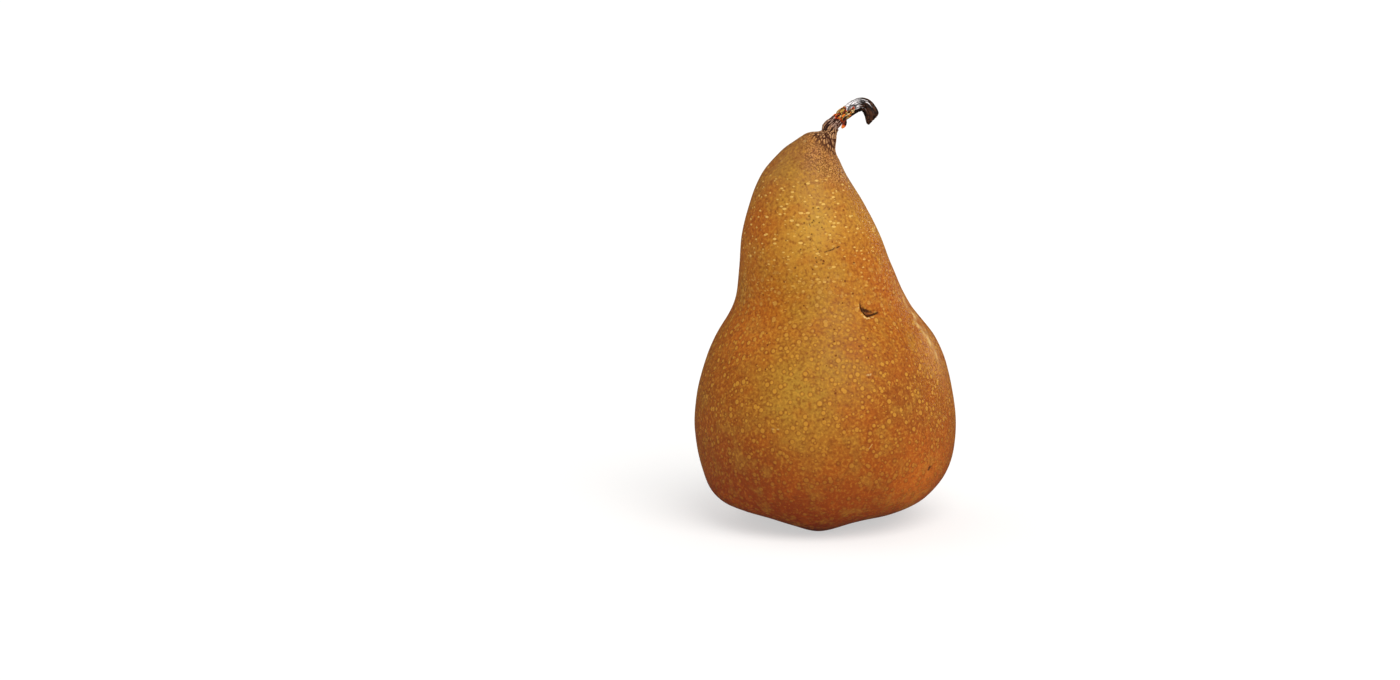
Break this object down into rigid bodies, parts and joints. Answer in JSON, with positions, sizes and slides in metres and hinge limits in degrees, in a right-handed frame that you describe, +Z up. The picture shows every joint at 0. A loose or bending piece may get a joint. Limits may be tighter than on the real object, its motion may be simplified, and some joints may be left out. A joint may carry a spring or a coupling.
{
  "type": "pear",
  "caption": "Whole russet pear standing on its base, with a slender leaning neck, a hooked woody stem and a dried calyx in the eye underneath.",
  "frame": {"origin": "on the surface that the pear stands on, under the middle of the fruit", "axes": "+Z up from the base to the stem, +X the side that the stem hooks over to, -Y the side with the main low lobe"},
  "size_m": [0.0724, 0.0723, 0.1172],
  "materials": {
    "russet_skin": "satin russet skin, golden brown with olive and red-brown areas, pale dots and fine rough russeting",
    "stem_bark": "dark wrinkled bark with grey sheen on top and an orange flaking patch",
    "dry_calyx": "dry, papery, dark brown sepals round a paler middle"
  },
  "bodies": {
    "root": {"fruit": "russet_skin", "stem": "stem_bark", "calyx": "dry_calyx"}
  },
  "joints": []
}
